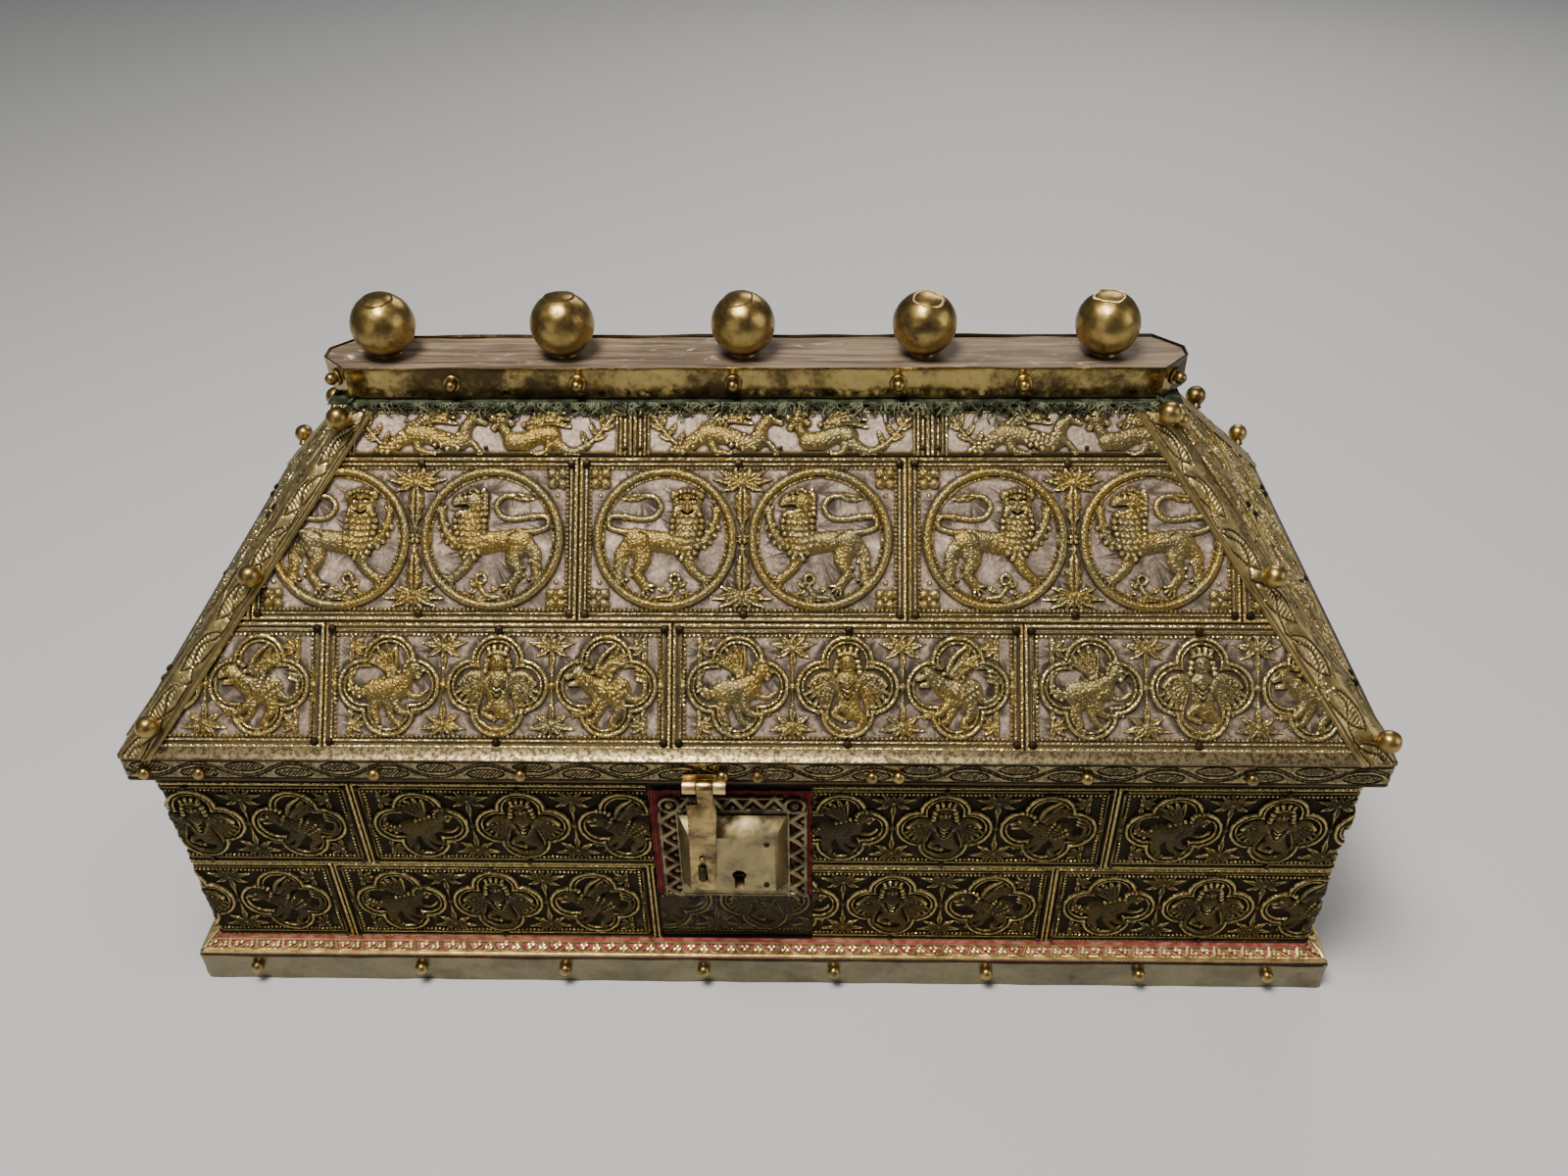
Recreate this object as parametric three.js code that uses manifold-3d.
// Reliquary casket: an oak box with a hipped lid, sheathed in stamped brass plates.
// Millimetres, +Z up, +X to the viewer's right, the locked front faces -Y.
// The origin is the middle of the base board's underside.

import * as THREE from 'three';
import { mergeVertices } from 'three/addons/utils/BufferGeometryUtils.js';
import Module from 'manifold-3d';

const wasm = await Module();
wasm.setup();

// ---- Driving dimensions -------------------------------------------------------------

const GAP = 0.3;                       // clearance between two pieces that touch
const SHEET = 1.0;                     // stamped sheet, as a plate with its edges turned
const BAND = 0.8;                      // plain and engraved bands
const BOARD = 8;                       // oak boards of the box and the lid

const BASE = { halfX: 219.3, halfY: 97.3, bandBottom: 0.6, bandTop: 14.7 };
const LEDGE = { edgeZ: 13.8, footZ: 16.8, run: 7.2, innerClear: 0.9 };
const LEDGE_TEXTILE = [0.3, 0.8];      // heights over the ledge
const LEDGE_STRIP = [1.1, 1.8];
const WALL = { halfX: 211.5, halfY: 89.4, bottom: 18.5, rowHeight: 42.4, top: 112.6, turned: 1.4, proud: 0.8 };
const RIM = { halfX: 215, halfY: 97.7, bottom: 112.9, shoulder: 121.4, top: 122.2, lip: 1.4 };
const APEX = { halfX: 136.4, halfY: 15.3, z: 213.8 };
const LID_TOP = 212;                   // flat top of the lid's boards
const SKIN = 1.6;                      // lid boards lie this far under the plates' face

const PLATE = { quatrefoil: 118.5, lion: 112, dragon: 101.7 };
const ROWS = {
  quatrefoil: { low: 4.5, high: 47.5 },
  lion: { low: 47.9, high: 104.3 },
  dragon: { low: 104.8, high: 120.8 },
};
const QUATREFOIL = { pitch: 37, lobeOffset: 8.3, lobeRadius: 9.1 };
const ROUNDEL = { halfPitch: 26.4, radius: 24.6, width: 3.4 };
const WALL_JOINT = {
  lower: { left: -157.8, right: 110.2 },
  upper: { left: -142.5, right: 127.3 },
};
const CORNER_CLEAR = 1.5;              // wall motifs stop this far short of the corners

const EDGE = { turned: 0.4, fillet: 1.8, low: 0.4, high: 0.6 };  // turned edge, the fillet inside it, its heights
const PROUD = { quatrefoil: 0.9, lion: 1.2 };
const ROOT = 0.8;                      // fillets are rooted this deep in the sheet

const HIP = { leaf: 9.5, low: 1.2, bottom: 124.2, clear: 2.2 };
const HIP_NAIL = { radius: 4, stemRadius: 1.3, stem: 0.5 };
const HIP_NAIL_SEATS = {                // shares of the hip, and how far onto the long leaf
  front_left: [[0.115, 5.7], [0.53, 6.2], [0.945, 1.2]],
  front_right: [[0.07, 0.6], [0.515, 1.8], [0.955, 0.6]],
  back_left: [[0.09, 1], [0.51, 1], [0.955, 0.6]],
  back_right: [[0.09, 1], [0.51, 1], [0.955, 0.6]],
};

const RIDGE = { halfX: 149.3, halfY: 12.9, cut: 9.5, bottom: 213.9, top: 225.2, boardTop: 224.8 };
const FRINGE = { halfX: 147.5, halfY: 16.2, bottom: 212.6, top: 213.6 };
const BALL = { count: 5, radius: 11.4, foot: 3, pitch: 62, middle: -3.2 };
const CAP = { radius: 7.6, lap: 0.4, side: 9.3, flat: 0.6, shoulder: 11.3, top: 12.2 };  // over the ball's centre

const LOCK = { left: -37.4, right: 20.9, low: 45.1, top: 101.6 };
const LOCK_CLOTH = { x: [-37, 20.6], z: [45.4, 101.4], back: 89.7, thick: 0.8 };
const LOCK_PLATE = { x: [-34.2, 19.2], z: [46.2, 99.6], thick: 0.9, tooth: 2.1 };
const LOCK_BOX = { x: [-26.7, 11.9], z: [54.2, 90.8], chamfer: 4.3, front: 99 };
const KEYHOLE = { x: -5.4, z: 66.8, radius: 2.6, slot: 3.6, bottom: 59.1, depth: 6 };
const HINGE = { x: [-22.9, -8.3], knuckle: 6, split: 4.5, y: -101.4, z: 115.1, radius: 2.6, pin: 0.9 };
const LEAF = { thick: 0.9, below: 1, top: 117.6 };
const STRAP = { x: [-22, -12.8], thick: 1.5, bottom: 60.8, bulge: -104, clear: 0.4, neck: 7 };
const STRAP_CUT = { across: 3.4, up: 4.5 };  // the strap's slanted lower corner
const SLOT = { x: -18.2, z: [66, 74.6], width: 3.2 };
const STAPLE = { side: 0.7, end: 0.8, proud: 1.6 };  // clear of the slot's sides and ends, and past the strap

const FAR = 400;                       // beyond the casket on every side, for cutting blocks

const COLOURS = {
  brass: new THREE.MeshStandardMaterial({ color: 0x9a8145, roughness: 0.42, metalness: 0.9 }),
  darkBrass: new THREE.MeshStandardMaterial({ color: 0x5e5234, roughness: 0.5, metalness: 0.85 }),
  brightBrass: new THREE.MeshStandardMaterial({ color: 0xb39a5c, roughness: 0.3, metalness: 0.95 }),
  iron: new THREE.MeshStandardMaterial({ color: 0x6c6a5c, roughness: 0.45, metalness: 0.8 }),
  oak: new THREE.MeshStandardMaterial({ color: 0x6d5241, roughness: 0.8, metalness: 0 }),
  redCloth: new THREE.MeshStandardMaterial({ color: 0x9c4a48, roughness: 0.95, metalness: 0 }),
  greenCloth: new THREE.MeshStandardMaterial({ color: 0x3f4a3e, roughness: 0.95, metalness: 0 }),
};

// ---- Solids and booleans ------------------------------------------------------------

/** A closed three.js geometry as a solid that can be joined and cut. */
function solid(geometry) {
  const bare = new THREE.BufferGeometry();
  bare.setAttribute('position', geometry.getAttribute('position').clone());
  if (geometry.index) bare.setIndex(geometry.index.clone());
  const merged = mergeVertices(bare, 1e-4);
  const vertProperties = new Float32Array(merged.getAttribute('position').array);
  const triVerts = new Uint32Array(merged.index.array);
  return new wasm.Manifold(new wasm.Mesh({ numProp: 3, vertProperties, triVerts }));
}

/** The solid's surface as a three.js geometry. */
function surface(body) {
  const mesh = body.getMesh();
  const geometry = new THREE.BufferGeometry();
  geometry.setAttribute('position', new THREE.BufferAttribute(new Float32Array(mesh.vertProperties), 3));
  geometry.setIndex(new THREE.BufferAttribute(new Uint32Array(mesh.triVerts), 1));
  geometry.computeVertexNormals();
  return geometry;
}

/** A box between two corners. */
function block([x0, x1], [y0, y1], [z0, z1]) {
  const box = new THREE.BoxGeometry(x1 - x0, y1 - y0, z1 - z0);
  return box.translate((x0 + x1) / 2, (y0 + y1) / 2, (z0 + z1) / 2);
}

/** A box centred on the Z axis. */
function centredBlock(halfX, halfY, z0, z1) {
  return block([-halfX, halfX], [-halfY, halfY], [z0, z1]);
}

/** A block whose top rectangle differs from its bottom one, as a hipped roof has. */
function hipped(lower, upper) {
  const box = new THREE.BoxGeometry(2, 2, 2);
  const position = box.getAttribute('position');
  for (let i = 0; i < position.count; i += 1) {
    const level = position.getZ(i) > 0 ? upper : lower;
    position.setXYZ(i, position.getX(i) * level.halfX, position.getY(i) * level.halfY, level.z);
  }
  return box;
}

/** A ring with mitred corners: a closed section of [outward, height] points taken round a rectangle. */
function mitredRing(section, halfX, halfY) {
  const reach = 1000;
  const points = [...section, section[0]].map(([out, z]) => new THREE.Vector2(reach + out, z));
  const ring = new THREE.LatheGeometry(points, 4, Math.PI / 4);
  const position = ring.getAttribute('position');
  for (let i = 0; i < position.count; i += 1) {
    const [x, z, y] = [position.getX(i), position.getY(i), -position.getZ(i)];
    const out = Math.hypot(x, y) - reach;
    position.setXYZ(i, Math.sign(x) * (halfX + out), Math.sign(y) * (halfY + out), z);
  }
  return outward(ring);
}

/** The same closed geometry with its faces turned outwards. */
function outward(geometry) {
  const body = solid(geometry);
  if (body.volume() > 0) return surface(body);
  const index = geometry.index.array;
  for (let i = 0; i < index.length; i += 3) [index[i], index[i + 1]] = [index[i + 1], index[i]];
  return surface(solid(geometry));
}

/** An extruded outline of [x, y] corners, from height z0 to z1. */
function prism(corners, z0, z1) {
  const shape = new THREE.Shape(corners.map(([x, y]) => new THREE.Vector2(x, y)));
  return new THREE.ExtrudeGeometry(shape, { depth: z1 - z0, bevelEnabled: false }).translate(0, 0, z0);
}

/** A section of [y, z] corners extruded along X. */
function barAlongX(corners, [x0, x1]) {
  const basis = new THREE.Matrix4().makeBasis(
    new THREE.Vector3(0, 1, 0), new THREE.Vector3(0, 0, 1), new THREE.Vector3(1, 0, 0));
  return prism(corners, x0, x1).applyMatrix4(basis);
}

const group = new THREE.Group();

/** Adds one named piece to the casket. */
function piece(name, geometry, material) {
  const mesh = new THREE.Mesh(geometry, material);
  mesh.name = name;
  group.add(mesh);
  return mesh;
}

// ---- Faces that carry plates --------------------------------------------------------

const SIDES = {
  front: { along: 'X', turn: 0 },
  right: { along: 'Y', turn: Math.PI / 2 },
  back: { along: 'X', turn: Math.PI },
  left: { along: 'Y', turn: -Math.PI / 2 },
};

/** A side's lid slope: its frame, half widths and in-plane length. The local frame is right, up the slope, out. */
function slope(side) {
  const { along, turn } = SIDES[side];
  const lidSide = along === 'X';
  const reach = lidSide ? RIM.halfY : RIM.halfX;
  const run = reach - (lidSide ? APEX.halfY : APEX.halfX);
  const rise = APEX.z - RIM.top;
  const length = Math.hypot(run, rise);
  const right = new THREE.Vector3(1, 0, 0);
  const up = new THREE.Vector3(0, run / length, rise / length);
  const frame = new THREE.Matrix4().makeBasis(right, up, new THREE.Vector3().crossVectors(right, up));
  frame.setPosition(0, -reach, RIM.top);
  frame.premultiply(new THREE.Matrix4().makeRotationZ(turn));
  const lowHalf = lidSide ? RIM.halfX : RIM.halfY;
  const highHalf = lidSide ? APEX.halfX : APEX.halfY;
  return { frame, length, halfAt: (t) => lowHalf - ((lowHalf - highHalf) * t) / length };
}

/** Where a joint between plates falls, stepped along from one known joint across a width. */
function jointsAcross(first, step, half) {
  const start = first - Math.ceil((first + half) / step) * step;
  const count = Math.ceil((half - start) / step);
  return Array.from({ length: count + 1 }, (_, i) => start + i * step);
}

/** A quatrefoil outline: four round lobes on a cross. */
function quatrefoilShape(x, y) {
  const { lobeOffset: d, lobeRadius: r } = QUATREFOIL;
  const cusp = (d + Math.sqrt(2 * r * r - d * d)) / 2;
  const half = Math.atan2(cusp, cusp - d);
  const shape = new THREE.Shape();
  for (let lobe = 0; lobe < 4; lobe += 1) {
    const heading = (lobe * Math.PI) / 2;
    shape.absarc(x + d * Math.cos(heading), y + d * Math.sin(heading), r, heading - half, heading + half, false);
  }
  return shape;
}

/** An extruded motif outline, standing proud of the sheet. */
function raised(shape, curveSegments, height) {
  const options = { depth: height + SHEET / 2, bevelEnabled: false, curveSegments };
  return new THREE.ExtrudeGeometry(shape, options).translate(0, 0, -GAP - SHEET / 2);
}

/** The motifs of one plate whose left joint is at x and whose middle height is y. */
function plateMotifs(kind, x, y) {
  const middle = x + PLATE[kind] / 2;
  if (kind === 'quatrefoil') {
    return [-1, 0, 1].map((i) => raised(quatrefoilShape(middle + i * QUATREFOIL.pitch, y), 2, PROUD.quatrefoil));
  }
  if (kind === 'lion') {
    return [-1, 1].map((i) => {
      const ring = new THREE.Shape().absarc(middle + i * ROUNDEL.halfPitch, y, ROUNDEL.radius, 0, 2 * Math.PI);
      const hole = new THREE.Path();
      hole.absarc(middle + i * ROUNDEL.halfPitch, y, ROUNDEL.radius - ROUNDEL.width, 0, 2 * Math.PI);
      ring.holes.push(hole);
      return raised(ring, 8, PROUD.lion);
    });
  }
  return [];
}

/** One row of plates on a lid slope, joined where their edges lap. */
function slopeRow(side, kind, firstJoint) {
  const { frame, halfAt, length } = slope(side);
  const stretch = length / slope('front').length;
  const [low, high] = [ROWS[kind].low * stretch, ROWS[kind].high * stretch];
  const outline = (inset) => [
    [-halfAt(low) + HIP.clear + inset, low + inset], [halfAt(low) - HIP.clear - inset, low + inset],
    [halfAt(high) - HIP.clear - inset, high - inset], [-halfAt(high) + HIP.clear + inset, high - inset],
  ];
  let row = solid(prism(outline(0), -GAP - SHEET, -GAP));
  const half = halfAt(low);
  const { turned, fillet } = EDGE;
  const bars = [[low, low + fillet], [high - fillet, high]].map((v) => block([-half, half], v, [-ROOT, EDGE.low]));
  for (const x of jointsAcross(firstJoint, PLATE[kind], half)) {
    bars.push(block([x - fillet, x + fillet], [low, high], [-ROOT, EDGE.high]));
    if (side !== 'back' || kind === 'lion') bars.push(...plateMotifs(kind, x, (low + high) / 2));
  }
  const clip = solid(prism(outline(turned), -2 * SHEET, 2 * SHEET));
  for (const bar of bars) row = row.add(solid(bar).intersect(clip));
  return surface(row).applyMatrix4(frame);
}

// ---- Base ---------------------------------------------------------------------------

const boardX = BASE.halfX - BAND - GAP;
const boardY = BASE.halfY - BAND - GAP;
const ledgeInner = LEDGE.run - LEDGE.innerClear;
const ledgeRise = ((LEDGE.footZ - LEDGE.edgeZ) * ledgeInner) / LEDGE.run;
const ledgeSection = ([low, high]) => [
  [0, LEDGE.edgeZ + low], [0, LEDGE.edgeZ + high],
  [-ledgeInner, LEDGE.edgeZ + ledgeRise + high], [-ledgeInner, LEDGE.edgeZ + ledgeRise + low],
];

const baseBoard = solid(centredBlock(boardX, boardY, 0, LEDGE.edgeZ)).add(solid(hipped(
  { halfX: boardX, halfY: boardY, z: LEDGE.edgeZ },
  { halfX: boardX - LEDGE.run, halfY: boardY - LEDGE.run, z: LEDGE.footZ })));
piece('base_board', surface(baseBoard), COLOURS.oak);

const bandSection = (bottom, top) => [[0, bottom], [0, top], [-BAND, top], [-BAND, bottom]];
piece('base_band', mitredRing(bandSection(BASE.bandBottom, BASE.bandTop - 1), BASE.halfX, BASE.halfY),
  COLOURS.darkBrass);

piece('ledge_textile', mitredRing(ledgeSection(LEDGE_TEXTILE), boardX, boardY), COLOURS.redCloth);

const ledgeStrip = solid(mitredRing(ledgeSection(LEDGE_STRIP), boardX, boardY));
for (const [side, { along, turn }] of Object.entries(SIDES)) {
  const [width, depth] = along === 'X' ? [boardX, boardY] : [boardY, boardX];
  const near = width - GAP;
  const inner = 2 * LEDGE.run;
  const wedge = prism([
    [-near - FAR, -depth - FAR], [near + FAR, -depth - FAR],
    [near - inner, -depth + inner], [-near + inner, -depth + inner],
  ], 0, FAR).rotateZ(turn);
  piece(`zigzag_strip_${side}`, surface(ledgeStrip.intersect(solid(wedge))), COLOURS.brass);
}

// ---- Box ----------------------------------------------------------------------------

const coreX = WALL.halfX - SHEET - GAP;
const coreY = WALL.halfY - SHEET - GAP;
const coreBottom = LEDGE.footZ + GAP;
const boxFloor = coreBottom + BOARD;
const box = solid(centredBlock(coreX, coreY, coreBottom, WALL.top))
  .subtract(solid(centredBlock(coreX - BOARD, coreY - BOARD, boxFloor, FAR)));
piece('box', surface(box), COLOURS.oak);

/** Cuts a ring of wall plates to the part on one side of the lock and of the joint at the back. */
function halfRing(ring, sign, lockEdge) {
  const ends = (x) => (sign < 0 ? [-FAR, x] : [x, FAR]);
  const front = solid(block(ends(lockEdge + (sign * GAP) / 2), [-FAR, 0], [-FAR, FAR]));
  const rear = solid(block(ends((sign * GAP) / 2), [0, FAR], [-FAR, FAR]));
  return ring.intersect(front.add(rear));
}

/** One row of wall plates round the box: the sheet, its turned edges and, on the front, the quatrefoils. */
function wallRow(bottom, firstJoint) {
  const top = bottom + WALL.rowHeight;
  const { turned, proud } = WALL;
  const section = [
    [0, bottom + turned], [proud, bottom + turned], [proud, bottom], [-SHEET, bottom], [-SHEET, top],
    [proud, top], [proud, top - turned], [0, top - turned],
  ];
  let row = solid(mitredRing(section, WALL.halfX, WALL.halfY));
  const frame = new THREE.Matrix4().makeBasis(
    new THREE.Vector3(1, 0, 0), new THREE.Vector3(0, 0, 1), new THREE.Vector3(0, -1, 0));
  frame.setPosition(0, -WALL.halfY + GAP, 0);
  const reach = WALL.halfX - CORNER_CLEAR;
  const clip = solid(block([-reach, reach], [-WALL.halfY - BOARD, -WALL.halfY + BOARD], [bottom, top]));
  for (const x of jointsAcross(firstJoint, PLATE.quatrefoil, WALL.halfX)) {
    for (const motif of plateMotifs('quatrefoil', x, (bottom + top) / 2)) {
      row = row.add(solid(motif.applyMatrix4(frame)).intersect(clip));
    }
  }
  return row;
}

const rowBottom = { lower: WALL.bottom, upper: WALL.bottom + WALL.rowHeight + GAP };
for (const [side, sign] of [['left', -1], ['right', 1]]) {
  for (const [row, bottom] of Object.entries(rowBottom)) {
    const plates = halfRing(wallRow(bottom, WALL_JOINT[row][side]), sign, LOCK[side]);
    piece(`wall_plates_${row}_${side}`, surface(plates), COLOURS.darkBrass);
  }
}
piece('wall_patch', block([LOCK.left + GAP, LOCK.right - GAP],
  [-WALL.halfY + GAP, -WALL.halfY + SHEET], [WALL.bottom, LOCK.low - GAP]), COLOURS.darkBrass);

// ---- Lid ----------------------------------------------------------------------------

/** The lid's rectangle at a height, on planes moved inwards by a depth measured square to each slope. */
function lidLevel(z, depth) {
  const share = (z - RIM.top) / (APEX.z - RIM.top);
  const rise = APEX.z - RIM.top;
  const inset = (reach, apex) => depth * Math.hypot(reach - apex, rise) / rise;
  return {
    z,
    halfX: RIM.halfX - (RIM.halfX - APEX.halfX) * share - inset(RIM.halfX, APEX.halfX),
    halfY: RIM.halfY - (RIM.halfY - APEX.halfY) * share - inset(RIM.halfY, APEX.halfY),
  };
}

const shoulder = lidLevel(RIM.shoulder, SKIN);
const innerShoulder = lidLevel(RIM.shoulder - SHEET, SKIN + BOARD);
const ceiling = lidLevel(LID_TOP - BOARD - SKIN, SKIN + BOARD);
const lidOuter = solid(hipped(shoulder, lidLevel(LID_TOP, SKIN)))
  .add(solid(centredBlock(shoulder.halfX, shoulder.halfY, RIM.bottom, shoulder.z)));
const lidInner = solid(hipped(innerShoulder, ceiling))
  .add(solid(centredBlock(coreX - BOARD, coreY - BOARD, 0, innerShoulder.z)));
piece('lid', surface(lidOuter.subtract(lidInner)), COLOURS.oak);

piece('rim_band', mitredRing(bandSection(RIM.bottom, RIM.top + RIM.lip), RIM.halfX, RIM.halfY), COLOURS.darkBrass);

const FIRST_JOINT = {
  front: { quatrefoil: -145.1, lion: -59.1, dragon: -40.9 },
  back: { quatrefoil: -85, lion: 0, dragon: -10 },
  left: { quatrefoil: -59.2, lion: -56, dragon: -50.8 },
  right: { quatrefoil: -59.2, lion: -56, dragon: -50.8 },
};
for (const [side, joints] of Object.entries(FIRST_JOINT)) {
  for (const [kind, joint] of Object.entries(joints)) {
    piece(`${side}_${kind}_plates`, slopeRow(side, kind, joint), COLOURS.brass);
  }
}

/** The angle strip over one hip of the lid, and its nails, whose seats are given. */
function hip(signX, signY, seats) {
  const foot = new THREE.Vector3(signX * RIM.halfX, signY * RIM.halfY, RIM.top);
  const head = new THREE.Vector3(signX * APEX.halfX, signY * APEX.halfY, APEX.z);
  const along = head.clone().sub(foot).normalize();
  const normalOf = (side) => new THREE.Vector3().setFromMatrixColumn(slope(side).frame, 2);
  const faces = [normalOf(signY < 0 ? 'front' : 'back'), normalOf(signX < 0 ? 'left' : 'right')];
  const ridge = faces[0].clone().add(faces[1]);
  const spread = 1 + faces[0].dot(faces[1]);
  const apexAt = (depth) => ridge.clone().multiplyScalar(depth / spread);
  const leaves = faces.map((normal, i) => {
    const leaf = new THREE.Vector3().crossVectors(normal, along).normalize();
    return leaf.dot(faces[1 - i]) > 0 ? leaf.negate() : leaf;
  });
  const low = apexAt(HIP.low);
  const high = apexAt(HIP.low + BAND);
  const sideways = (from, i) => from.clone().addScaledVector(leaves[i], HIP.leaf);
  const section = [sideways(low, 0), low, sideways(low, 1), sideways(high, 1), high, sideways(high, 0)];

  const up = ridge.clone().normalize();
  const across = new THREE.Vector3().crossVectors(up, along);
  const shape = new THREE.Shape(section.map((p) => new THREE.Vector2(p.dot(across), p.dot(up))));
  const length = head.distanceTo(foot);
  const past = 10;
  const strip = new THREE.ExtrudeGeometry(shape, { depth: length + 2 * past, bevelEnabled: false });
  strip.translate(0, 0, -past).applyMatrix4(new THREE.Matrix4().makeBasis(across, up, along).setPosition(foot));
  const trimmed = solid(strip).intersect(solid(centredBlock(FAR, FAR, HIP.bottom, LID_TOP)));

  const nails = seats.map(([share, onLeaf]) => {
    const { radius, stemRadius, stem } = HIP_NAIL;
    const neck = Math.asin(stemRadius / radius);
    const profile = [new THREE.Vector2(0, 0), new THREE.Vector2(stemRadius, 0)];
    const steps = 3;
    for (let i = 0; i <= steps; i += 1) {
      const angle = neck + ((Math.PI - neck) * i) / steps;
      const rise = stem + radius * Math.cos(neck) - radius * Math.cos(angle);
      profile.push(new THREE.Vector2(i === steps ? 0 : radius * Math.sin(angle), rise));
    }
    const nail = new THREE.LatheGeometry(profile, 8).rotateX(Math.PI / 2);
    const seat = foot.clone().lerp(head, share).add(apexAt(HIP.low + BAND))
      .addScaledVector(leaves[0], onLeaf).addScaledVector(faces[0], GAP);
    const basis = new THREE.Matrix4().makeBasis(new THREE.Vector3().crossVectors(along, faces[0]), along, faces[0]);
    return nail.applyMatrix4(basis.setPosition(seat));
  });
  return { strip: surface(trimmed), nails };
}

for (const [endName, signX] of [['left', -1], ['right', 1]]) {
  for (const [faceName, signY] of [['front', -1], ['back', 1]]) {
    const corner = `${faceName}_${endName}`;
    const { strip, nails } = hip(signX, signY, HIP_NAIL_SEATS[corner]);
    piece(`hip_strip_${corner}`, strip, COLOURS.brass);
    nails.forEach((nail, i) => piece(`hip_nail_${corner}_${i + 1}`, outward(nail), COLOURS.brightBrass));
  }
}

// ---- Ridge --------------------------------------------------------------------------

/** The ridge board's outline: a long rectangle with cut corners, moved inwards by an inset. */
function ridgeOutline(inset) {
  const [x, y] = [RIDGE.halfX - inset, RIDGE.halfY - inset];
  const cut = RIDGE.cut - inset * (2 - Math.SQRT2);
  return [
    [x - cut, -y], [x, -y + cut], [x, y - cut], [x - cut, y],
    [-x + cut, y], [-x, y - cut], [-x, -y + cut], [-x + cut, -y],
  ];
}

piece('fringe', centredBlock(FRINGE.halfX, FRINGE.halfY, FRINGE.bottom, FRINGE.top), COLOURS.greenCloth);
piece('ridge_board', prism(ridgeOutline(BAND + GAP), RIDGE.bottom, RIDGE.boardTop), COLOURS.oak);
piece('ridge_band', surface(solid(prism(ridgeOutline(0), RIDGE.bottom, RIDGE.top))
  .subtract(solid(prism(ridgeOutline(BAND), RIDGE.bottom - BAND, RIDGE.top + BAND)))), COLOURS.brightBrass);

/** A brass ball with a soldered disc on its crown and a flat foot. */
function crestBall() {
  const { radius, foot } = BALL;
  const start = Math.asin(foot / radius);
  const end = Math.PI - Math.asin((CAP.radius - CAP.lap) / radius);
  const centre = radius * Math.cos(start);
  const profile = [new THREE.Vector2(0, 0)];
  const steps = 6;
  for (let i = 0; i <= steps; i += 1) {
    const angle = start + ((end - start) * i) / steps;
    profile.push(new THREE.Vector2(radius * Math.sin(angle), centre - radius * Math.cos(angle)));
  }
  profile.push(new THREE.Vector2(CAP.radius, centre + CAP.side));
  profile.push(new THREE.Vector2(CAP.radius * CAP.flat, centre + CAP.shoulder));
  profile.push(new THREE.Vector2(0, centre + CAP.top));
  return new THREE.LatheGeometry(profile, 14).rotateX(Math.PI / 2);
}

for (let i = 0; i < BALL.count; i += 1) {
  const mesh = piece(`ball_${i + 1}`, outward(crestBall()), COLOURS.brightBrass);
  mesh.position.set(BALL.middle + (i - (BALL.count - 1) / 2) * BALL.pitch, 0, RIDGE.boardTop + GAP);
}

// ---- Lock and hasp ------------------------------------------------------------------

const clothFront = -LOCK_CLOTH.back - LOCK_CLOTH.thick;
piece('lock_cloth', block(LOCK_CLOTH.x, [clothFront, -LOCK_CLOTH.back], LOCK_CLOTH.z), COLOURS.redCloth);

/** The lock plate's outline: plain at the bottom, saw-toothed at the top and the two sides. */
function toothedOutline() {
  const { x: [x0, x1], z: [z0, z1], tooth } = LOCK_PLATE;
  const corners = [[x0, z0], [x1, z0]];
  const teeth = (from, to, inset, place) => {
    const count = 5;
    for (let i = 1; i < 2 * count; i += 1) {
      corners.push(place(from + ((to - from) * i) / (2 * count), i % 2 ? inset : 0));
    }
  };
  teeth(z0, z1, tooth, (z, inset) => [x1 - inset, z]);
  corners.push([x1, z1]);
  teeth(x1, x0, tooth, (x, inset) => [x, z1 - inset]);
  corners.push([x0, z1]);
  teeth(z1, z0, tooth, (z, inset) => [x0 + inset, z]);
  return corners;
}

const plateBack = clothFront - GAP;
const plateFront = plateBack - LOCK_PLATE.thick;
const lockPlate = prism(toothedOutline(), 0, LOCK_PLATE.thick).rotateX(Math.PI / 2).translate(0, plateBack, 0);
piece('lock_plate', lockPlate, COLOURS.iron);

const boxBack = plateFront - GAP;
const boxMiddle = { x: (LOCK_BOX.x[0] + LOCK_BOX.x[1]) / 2, z: (LOCK_BOX.z[0] + LOCK_BOX.z[1]) / 2 };
const boxHalf = { x: LOCK_BOX.x[1] - boxMiddle.x, z: LOCK_BOX.z[1] - boxMiddle.z };
const lockBody = hipped(
  { halfX: boxHalf.x, halfY: boxHalf.z, z: -boxBack },
  { halfX: boxHalf.x - LOCK_BOX.chamfer, halfY: boxHalf.z - LOCK_BOX.chamfer, z: LOCK_BOX.front },
).rotateX(Math.PI / 2).translate(boxMiddle.x, 0, boxMiddle.z);
const keyRound = new THREE.CylinderGeometry(KEYHOLE.radius, KEYHOLE.radius, 2 * KEYHOLE.depth, 16)
  .translate(KEYHOLE.x, -LOCK_BOX.front, KEYHOLE.z);
const keySlot = block([KEYHOLE.x - KEYHOLE.slot / 2, KEYHOLE.x + KEYHOLE.slot / 2],
  [-LOCK_BOX.front - KEYHOLE.depth, -LOCK_BOX.front + KEYHOLE.depth], [KEYHOLE.bottom, KEYHOLE.z]);
piece('lock_box', surface(solid(lockBody).subtract(solid(keyRound).add(solid(keySlot)))), COLOURS.iron);

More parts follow.
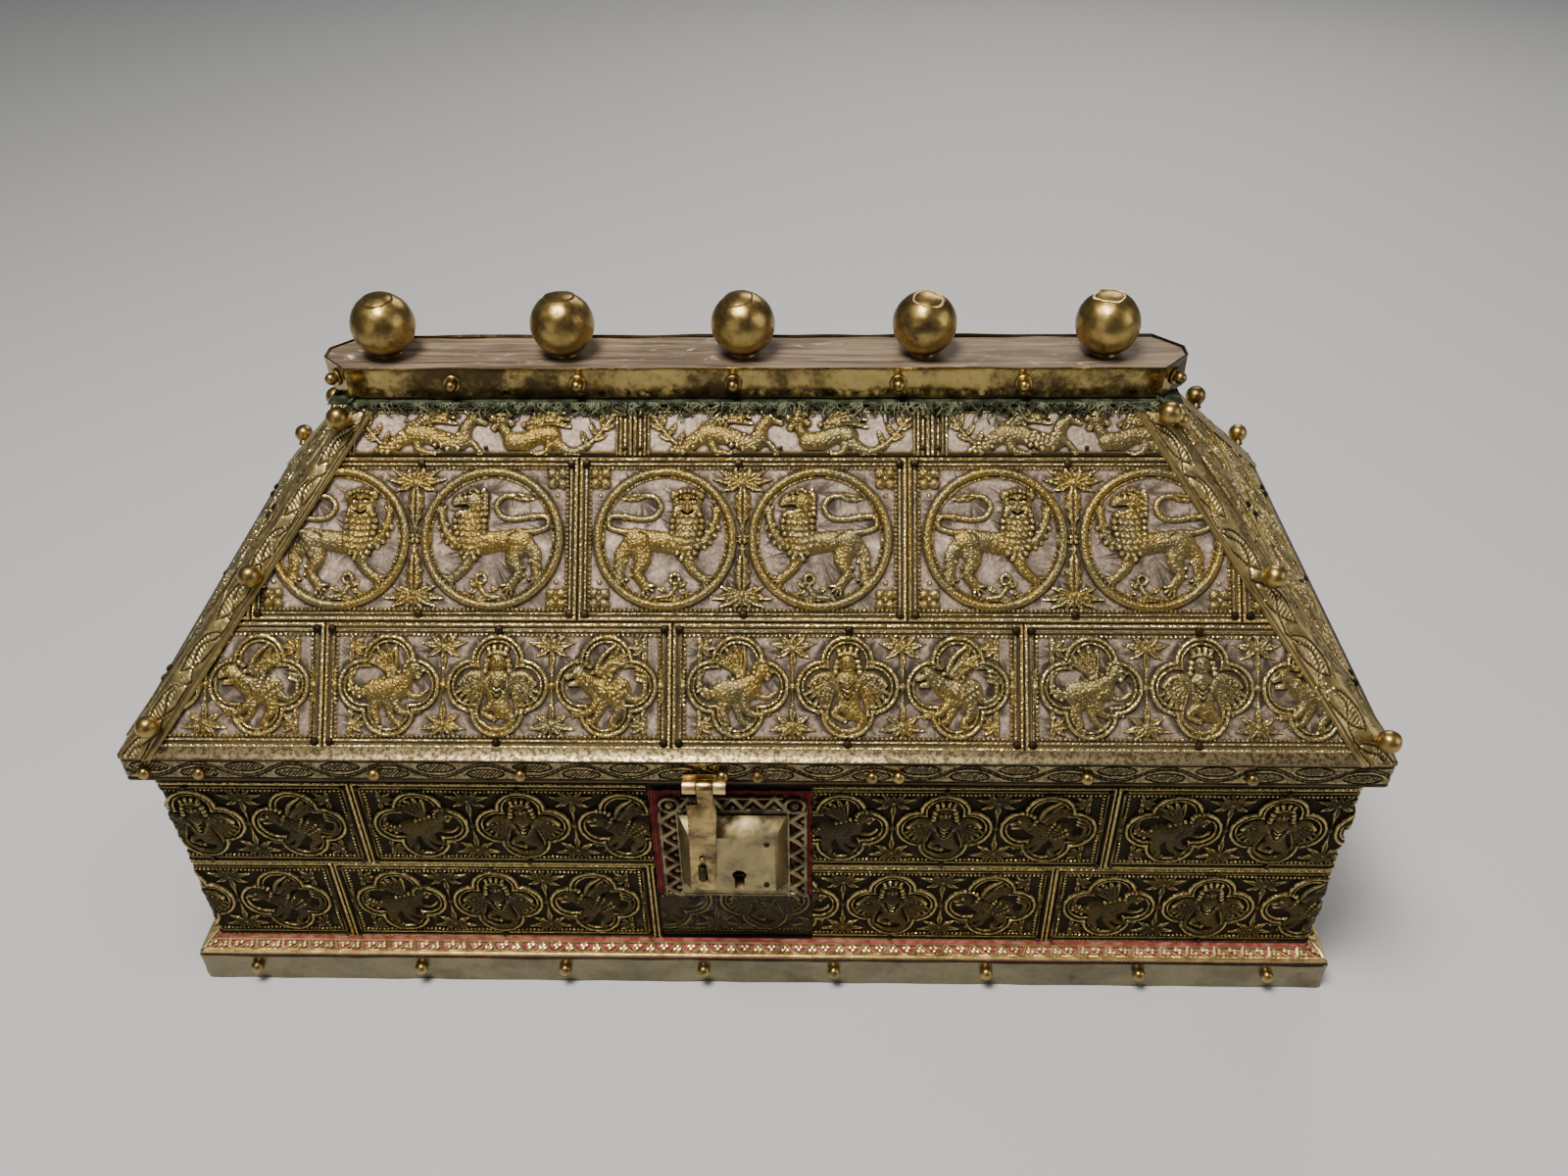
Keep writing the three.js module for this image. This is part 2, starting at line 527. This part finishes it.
const stapleHalf = SLOT.width / 2 - STAPLE.side;
const strapBack = -LOCK_BOX.front - STRAP.clear;
const strapFront = strapBack - STRAP.thick;
piece('lock_staple', block([SLOT.x - stapleHalf, SLOT.x + stapleHalf],
  [strapFront - STAPLE.proud, -LOCK_BOX.front - GAP],
  [SLOT.z[0] + STAPLE.end, SLOT.z[1] - STAPLE.end]), COLOURS.iron);

/** One hinge knuckle: a short tube on the hasp's axis. */
function knuckle([x0, x1]) {
  const outer = new THREE.CylinderGeometry(HINGE.radius, HINGE.radius, x1 - x0, 20);
  const bore = new THREE.CylinderGeometry(HINGE.pin + GAP, HINGE.pin + GAP, FAR, 12);
  const tube = solid(outer).subtract(solid(bore));
  const place = new THREE.Matrix4().makeRotationZ(Math.PI / 2).setPosition((x0 + x1) / 2, HINGE.y, HINGE.z);
  return surface(tube).applyMatrix4(place);
}

const [hingeLeft, hingeRight] = HINGE.x;
const hingeMiddle = (hingeLeft + hingeRight) / 2;
const middleKnuckle = [hingeLeft + HINGE.split + GAP, hingeLeft + HINGE.split + HINGE.knuckle - GAP];
const leafBack = -RIM.halfY - GAP;
const knuckleRoom = HINGE.radius + 2 * GAP;
const leafNotch = solid(block([middleKnuckle[0] - GAP, middleKnuckle[1] + GAP],
  [HINGE.y - knuckleRoom, HINGE.y + knuckleRoom], [HINGE.z - FAR, HINGE.z + knuckleRoom]));
const pinTunnel = solid(new THREE.CylinderGeometry(HINGE.pin + GAP, HINGE.pin + GAP, FAR, 12)
  .rotateZ(Math.PI / 2).translate(hingeMiddle, HINGE.y, HINGE.z));
const leaf = solid(block([hingeLeft, hingeRight], [leafBack - LEAF.thick, leafBack], [HINGE.z - LEAF.below, LEAF.top]))
  .subtract(leafNotch)
  .add(solid(knuckle([hingeLeft, middleKnuckle[0] - GAP])))
  .add(solid(knuckle([middleKnuckle[1] + GAP, hingeRight])))
  .subtract(pinTunnel);
piece('hasp_leaf', surface(leaf), COLOURS.brightBrass);
piece('hasp_pin', new THREE.CylinderGeometry(HINGE.pin, HINGE.pin, hingeRight - hingeLeft, 12)
  .rotateZ(Math.PI / 2).translate(hingeMiddle, HINGE.y, HINGE.z), COLOURS.iron);

/** The hasp: an arched strap hung from the middle knuckle, slotted for the staple. */
function haspStrap() {
  const turn = LOCK_BOX.z[1] - STRAP_CUT.across;
  const bulgeBack = STRAP.bulge + STRAP.thick;
  const section = [
    [HINGE.y - 2, HINGE.z - 1.6], [STRAP.bulge + 0.6, HINGE.z - 6], [STRAP.bulge, HINGE.z - 12],
    [STRAP.bulge + 0.9, turn + 5], [strapFront, turn - 2], [strapFront, STRAP.bottom],
    [strapBack, STRAP.bottom], [strapBack, turn - 1.6], [bulgeBack + 0.9, turn + 5.4],
    [bulgeBack, HINGE.z - 12], [bulgeBack + 0.6, HINGE.z - 6.4], [HINGE.y - 0.4, HINGE.z - 1.6],
  ];
  const through = [HINGE.y - STRAP.clear - FAR, HINGE.y + FAR];
  const neck = solid(block(middleKnuckle, through, [HINGE.z - STRAP.neck, HINGE.z]));
  const width = solid(block(STRAP.x, through, [STRAP.bottom - GAP, HINGE.z - STRAP.neck]));
  const slot = solid(block([SLOT.x - SLOT.width / 2, SLOT.x + SLOT.width / 2], through, SLOT.z));
  const { across, up } = STRAP_CUT;
  const corner = solid(prism([[-across, -across], [across, -across], [-across, up]], -FAR, FAR)
    .rotateX(Math.PI / 2).translate(STRAP.x[0], 0, STRAP.bottom));
  return solid(barAlongX(section.reverse(), STRAP.x))
    .intersect(neck.add(width)).subtract(slot).subtract(corner)
    .add(solid(knuckle(middleKnuckle)))
    .subtract(pinTunnel);
}

piece('hasp_strap', surface(haspStrap()), COLOURS.brass);

export default group;
